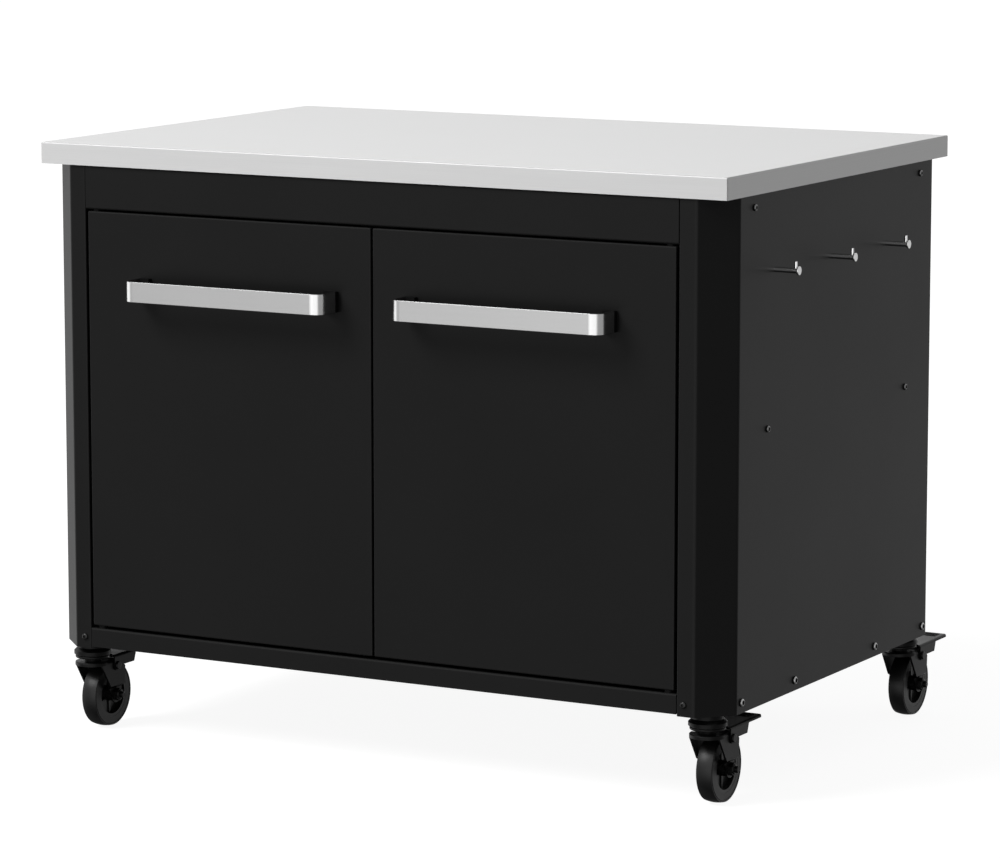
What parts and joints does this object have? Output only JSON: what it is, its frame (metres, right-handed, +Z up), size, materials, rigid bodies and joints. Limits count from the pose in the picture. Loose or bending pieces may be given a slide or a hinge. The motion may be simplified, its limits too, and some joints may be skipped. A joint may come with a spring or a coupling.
{
  "type": "outdoor kitchen",
  "caption": "Mobile outdoor kitchen: black sheet-steel cabinet with hinged doors, strap handles, tool hooks on one side, pale worktop and braked swivel casters.",
  "frame": {"origin": "on the floor, below the middle of the cabinet and midway between the four swivel axes", "axes": "+X along the worktop to the right as seen from the doors, +Y to the back, +Z up"},
  "size_m": [1.174, 0.879, 0.9],
  "materials": {
    "worktop_steel": "satin",
    "core_board": "matte",
    "black_coat": "satin powder coat",
    "handle_steel": "brushed",
    "polished_steel": "polished",
    "zinc_steel": "zinc plated",
    "black_screw": "satin",
    "black_plastic": "matte",
    "caster_metal": "satin",
    "caster_bolts": "black oxide",
    "wheel_plastic": "matte",
    "tyre_rubber": "matte"
  },
  "bodies": {
    "cabinet": {"worktop_skin": "worktop_steel", "worktop_core": "core_board", "worktop_screws": "zinc_steel", "back_panel": "black_coat", "floor_panel": "black_coat", "fascia_rail": "black_coat", "sill_rail": "black_coat", "shelf": "black_coat", "magnetic_catch": "black_plastic", "hinge_bushes": "black_plastic", "upper_wall_screws": "black_screw", "front_strip_screws": "black_screw", "base_screws": "zinc_steel", "back_panel_screws": "black_screw", "tool_hook_front": "polished_steel", "tool_hook_middle": "polished_steel", "tool_hook_rear": "polished_steel", "left_side_wall": "black_coat", "left_base_beam": "black_coat", "left_worktop_bearer": "black_coat", "right_side_wall": "black_coat", "right_base_beam": "black_coat", "right_worktop_bearer": "black_coat", "caster_head_front_left": "caster_metal", "caster_head_front_right": "caster_metal", "caster_head_rear_left": "caster_metal", "caster_head_rear_right": "caster_metal"},
    "left_door": {"left_door_pan": "black_coat", "left_door_liner": "black_coat", "left_hinge_pins": "zinc_steel", "left_handle": "handle_steel", "left_handle_pads": "black_plastic", "left_handle_screws": "zinc_steel"},
    "right_door": {"right_door_pan": "black_coat", "right_door_liner": "black_coat", "right_hinge_pins": "zinc_steel", "right_handle": "handle_steel", "right_handle_pads": "black_plastic", "right_handle_screws": "zinc_steel"},
    "swivel_front_left": {"caster_fork_front_left": "caster_metal", "caster_pins_front_left": "caster_bolts"},
    "wheel_front_left": {"caster_wheel_front_left": "wheel_plastic", "caster_tyre_front_left": "tyre_rubber"},
    "pedal_front_left": {"brake_pedal_front_left": "caster_metal"},
    "swivel_front_right": {"caster_fork_front_right": "caster_metal", "caster_pins_front_right": "caster_bolts"},
    "wheel_front_right": {"caster_wheel_front_right": "wheel_plastic", "caster_tyre_front_right": "tyre_rubber"},
    "pedal_front_right": {"brake_pedal_front_right": "caster_metal"},
    "swivel_rear_left": {"caster_fork_rear_left": "caster_metal", "caster_pins_rear_left": "caster_bolts"},
    "wheel_rear_left": {"caster_wheel_rear_left": "wheel_plastic", "caster_tyre_rear_left": "tyre_rubber"},
    "pedal_rear_left": {"brake_pedal_rear_left": "caster_metal"},
    "swivel_rear_right": {"caster_fork_rear_right": "caster_metal", "caster_pins_rear_right": "caster_bolts"},
    "wheel_rear_right": {"caster_wheel_rear_right": "wheel_plastic", "caster_tyre_rear_right": "tyre_rubber"},
    "pedal_rear_right": {"brake_pedal_rear_right": "caster_metal"}
  },
  "joints": [
    {"name": "left_door_hinge", "type": "hinge", "parent": "cabinet", "child": "left_door", "pos_m": [-0.478, -0.366, 0.48625], "axis": [0, 0, -1], "range_deg": [0, 110]},
    {"name": "right_door_hinge", "type": "hinge", "parent": "cabinet", "child": "right_door", "pos_m": [0.478, -0.366, 0.48625], "axis": [0, 0, 1], "range_deg": [0, 110]},
    {"name": "swivel_turn_front_left", "type": "hinge", "parent": "cabinet", "child": "swivel_front_left", "pos_m": [-0.522, -0.332, 0.107], "axis": [0, 0, 1], "continuous": true},
    {"name": "wheel_spin_front_left", "type": "hinge", "parent": "swivel_front_left", "child": "wheel_front_left", "pos_m": [-0.522, -0.296, 0.05], "axis": [1, 0, 0], "continuous": true},
    {"name": "pedal_press_front_left", "type": "hinge", "parent": "swivel_front_left", "child": "pedal_front_left", "pos_m": [-0.522, -0.304, 0.097], "axis": [-1, 0, 0], "range_deg": [0, 7]},
    {"name": "swivel_turn_front_right", "type": "hinge", "parent": "cabinet", "child": "swivel_front_right", "pos_m": [0.522, -0.332, 0.107], "axis": [0, 0, 1], "continuous": true},
    {"name": "wheel_spin_front_right", "type": "hinge", "parent": "swivel_front_right", "child": "wheel_front_right", "pos_m": [0.522, -0.296, 0.05], "axis": [1, 0, 0], "continuous": true},
    {"name": "pedal_press_front_right", "type": "hinge", "parent": "swivel_front_right", "child": "pedal_front_right", "pos_m": [0.522, -0.304, 0.097], "axis": [-1, 0, 0], "range_deg": [0, 7]},
    {"name": "swivel_turn_rear_left", "type": "hinge", "parent": "cabinet", "child": "swivel_rear_left", "pos_m": [-0.522, 0.332, 0.107], "axis": [0, 0, 1], "continuous": true},
    {"name": "wheel_spin_rear_left", "type": "hinge", "parent": "swivel_rear_left", "child": "wheel_rear_left", "pos_m": [-0.522, 0.368, 0.05], "axis": [1, 0, 0], "continuous": true},
    {"name": "pedal_press_rear_left", "type": "hinge", "parent": "swivel_rear_left", "child": "pedal_rear_left", "pos_m": [-0.522, 0.36, 0.097], "axis": [-1, 0, 0], "range_deg": [0, 7]},
    {"name": "swivel_turn_rear_right", "type": "hinge", "parent": "cabinet", "child": "swivel_rear_right", "pos_m": [0.522, 0.332, 0.107], "axis": [0, 0, 1], "continuous": true},
    {"name": "wheel_spin_rear_right", "type": "hinge", "parent": "swivel_rear_right", "child": "wheel_rear_right", "pos_m": [0.522, 0.368, 0.05], "axis": [1, 0, 0], "continuous": true},
    {"name": "pedal_press_rear_right", "type": "hinge", "parent": "swivel_rear_right", "child": "pedal_rear_right", "pos_m": [0.522, 0.36, 0.097], "axis": [-1, 0, 0], "range_deg": [0, 7]}
  ]
}
